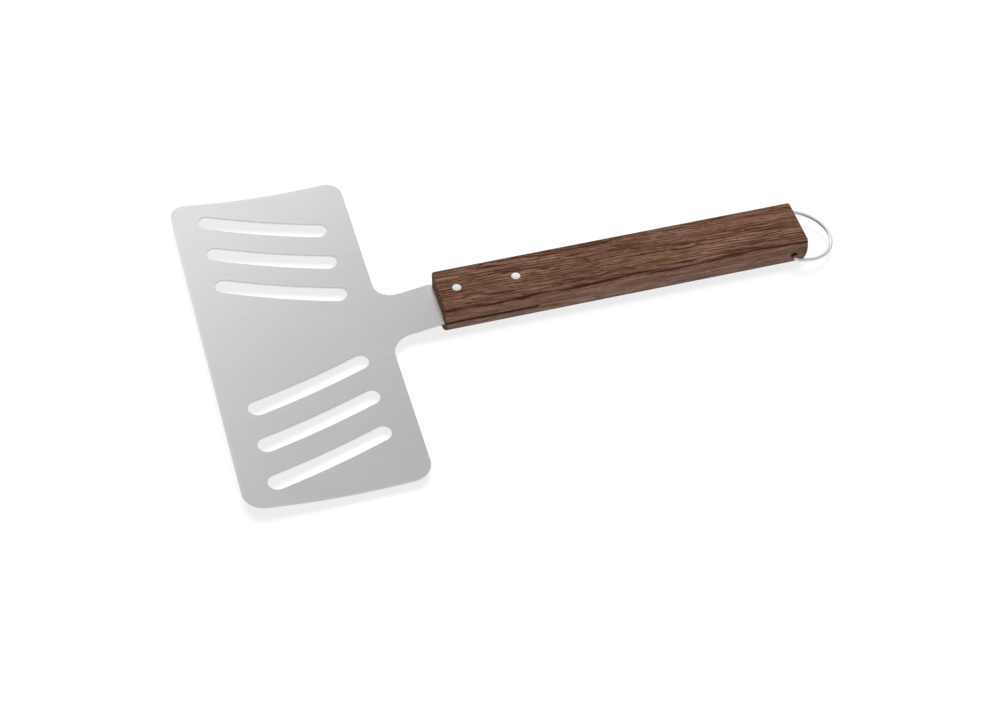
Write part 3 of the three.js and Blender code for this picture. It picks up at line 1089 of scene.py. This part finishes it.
def ground_steel():
    """Rivet faces: steel ground flush in one direction, with faint scratches."""
    material, tree, surface, place = new_material("ground_steel")
    lines = streaks(tree, place, GROUND_LINES, 2, 0.6)
    colour = toned(tree, varied(tree, lines, 0.97, 1.0), RIVET_COLOUR)
    dress(tree, surface, colour, varied(tree, lines, 0.30, 0.38), 1.0)
    tree.links.new(bumped(tree, lines, STEEL_BUMP, 0.1), surface.inputs["Normal"])
    return material


def bright_wire():
    """Bright wire, a little dull in places, with painted shade where it enters the wood."""
    material, tree, surface, place = new_material("bright_wire")
    clouds = streaks(tree, place, WIRE_CLOUDS, 3, 0.6)
    outward = size_of(tree, part_of(tree, place, "Y"))
    side = HANDLE_WIDTH / 2
    # Painted shade on the wire where it enters the handle's holes.
    by_side = mapped(tree, outward, side + 1.2 * MM, side + 2.0 * MM, SHADED_WIRE, 1.0)
    by_hinge = mapped(tree, from_hinge(tree, place), 1.3 * MM, 2.2 * MM, SHADED_WIRE, 1.0)
    hole_shade = combined(tree, "MAXIMUM", by_side, by_hinge)
    tone = combined(tree, "MULTIPLY", varied(tree, clouds, 0.95, 1.0), hole_shade)
    rough = varied(tree, clouds, 0.20, 0.28)
    dress(tree, surface, toned(tree, tone, WIRE_COLOUR), rough, 1.0)
    return material


# Studio

CAMERA_FROM_MOUTH = Vector((-208.352 * MM, -872.632 * MM, 944.469 * MM))
CAMERA_AZIMUTH = math.radians(15.6812)
CAMERA_ELEVATION = math.radians(47.5311)
CAMERA_ROLL = math.radians(0.2586)
CAMERA_LENS = 81.2824
CAMERA_CLIP_START = 0.01
TABLE_DEPTH = 6.8 * MM
TABLE_RADIUS = 4.0
TABLE_SIDES = 96
TABLE_COLOUR = (0.06, 0.06, 0.06, 1)
TABLE_ROUGHNESS = 0.9
TABLE_GLOW = 0.815
TABLE_LAMP_POWER = 11.0
TABLE_LAMP_SPREAD = math.radians(32)
ROOM_BRIGHTNESS = 0.605
SOFTBOX_PLACE = Vector((0.15, 0.42, 0.30))
SOFTBOX_AIM = Vector((-0.1, 0.0, 0.0))
SOFTBOX_WIDTH = 0.7
SOFTBOX_HEIGHT = 0.25
SOFTBOX_POWER = 0.5
WHITE = (1, 1, 1, 1)


def make_camera():
    """The photograph's view, on the standard 36 mm wide sensor."""
    data = bpy.data.cameras.new("camera")
    data.lens = CAMERA_LENS
    data.clip_start = CAMERA_CLIP_START
    azimuth = CAMERA_AZIMUTH
    elevation = CAMERA_ELEVATION
    forward = Vector(
        (
            math.sin(azimuth) * math.cos(elevation),
            math.cos(azimuth) * math.cos(elevation),
            -math.sin(elevation),
        )
    )
    level_right = Vector((math.cos(azimuth), -math.sin(azimuth), 0))
    level_up = level_right.cross(forward)
    right = level_right * math.cos(CAMERA_ROLL) + level_up * math.sin(CAMERA_ROLL)
    up = level_up * math.cos(CAMERA_ROLL) - level_right * math.sin(CAMERA_ROLL)
    camera = bpy.data.objects.new("camera", data)
    turned = Matrix((right, up, -forward)).transposed()
    place = CAMERA_FROM_MOUTH + Vector((MOUTH_X, 0, 0))
    camera.matrix_world = Matrix.Translation(place) @ turned.to_4x4()
    bpy.context.scene.collection.objects.link(camera)
    bpy.context.scene.camera = camera


def make_floor():
    """A glowing table a little below the turner, so that the shadow falls apart from it."""
    shape = bmesh.new()
    bmesh.ops.create_circle(shape, cap_ends=True, segments=TABLE_SIDES, radius=TABLE_RADIUS)
    bmesh.ops.translate(shape, verts=shape.verts, vec=(0, 0, -TABLE_DEPTH))
    mesh = bpy.data.meshes.new("floor")
    shape.to_mesh(mesh)
    shape.free()
    floor = new_piece("floor", mesh)
    material = bpy.data.materials.new("pale_table")
    material.use_nodes = True
    surface = material.node_tree.nodes["Principled BSDF"]
    surface.inputs["Base Color"].default_value = TABLE_COLOUR
    surface.inputs["Roughness"].default_value = TABLE_ROUGHNESS
    surface.inputs["Specular IOR Level"].default_value = 0.0
    surface.inputs["Emission Color"].default_value = WHITE
    surface.inputs["Emission Strength"].default_value = TABLE_GLOW
    mesh.materials.append(material)
    return floor


def make_table_lamp(floor):
    """A wide lamp overhead that lights the table alone, for the soft shadow straight below the turner."""
    data = bpy.data.lights.new("table_lamp", "SUN")
    data.energy = TABLE_LAMP_POWER
    data.angle = TABLE_LAMP_SPREAD
    lamp = bpy.data.objects.new("table_lamp", data)
    bpy.context.scene.collection.objects.link(lamp)
    lit = bpy.data.collections.new("lit_by_table_lamp")
    lit.objects.link(floor)
    lamp.light_linking.receiver_collection = lit


def make_softbox():
    """A small rectangular lamp behind the turner, facing it."""
    data = bpy.data.lights.new("rear_softbox", "AREA")
    data.shape = "RECTANGLE"
    data.size = SOFTBOX_WIDTH
    data.size_y = SOFTBOX_HEIGHT
    data.energy = SOFTBOX_POWER
    lamp = bpy.data.objects.new("rear_softbox", data)
    lamp.location = SOFTBOX_PLACE
    lamp.rotation_euler = (SOFTBOX_AIM - SOFTBOX_PLACE).to_track_quat("-Z", "Y").to_euler()
    bpy.context.scene.collection.objects.link(lamp)


def make_room():
    """Even soft light from all round."""
    world = bpy.data.worlds.new("studio")
    world.use_nodes = True
    bpy.context.scene.world = world
    background = world.node_tree.nodes["Background"]
    background.inputs["Color"].default_value = WHITE
    background.inputs["Strength"].default_value = ROOM_BRIGHTNESS


make_camera()
make_table_lamp(make_floor())
make_room()
make_softbox()
bpy.context.scene.view_settings.view_transform = "Standard"

STEEL = satin_steel()
WOOD = dark_wood()
RIVET = ground_steel()
WIRE = bright_wire()

for piece, node, body, slot, material in (
    (make_blade(), "blade", "turner", "sheet_steel", STEEL),
    (make_handle(), "handle", "turner", "wood", WOOD),
    (make_rivet("front_rivet_pin", RIVET_PLACES[0]), "front_rivet", "turner", "rivet_steel", RIVET),
    (make_rivet("rear_rivet_pin", RIVET_PLACES[1]), "rear_rivet", "turner", "rivet_steel", RIVET),
    (make_loop(), "hanging_loop", "loop", "wire", WIRE),
):
    piece.data.materials.clear()
    piece.data.materials.append(material)
    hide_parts(node)
    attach(piece, body)
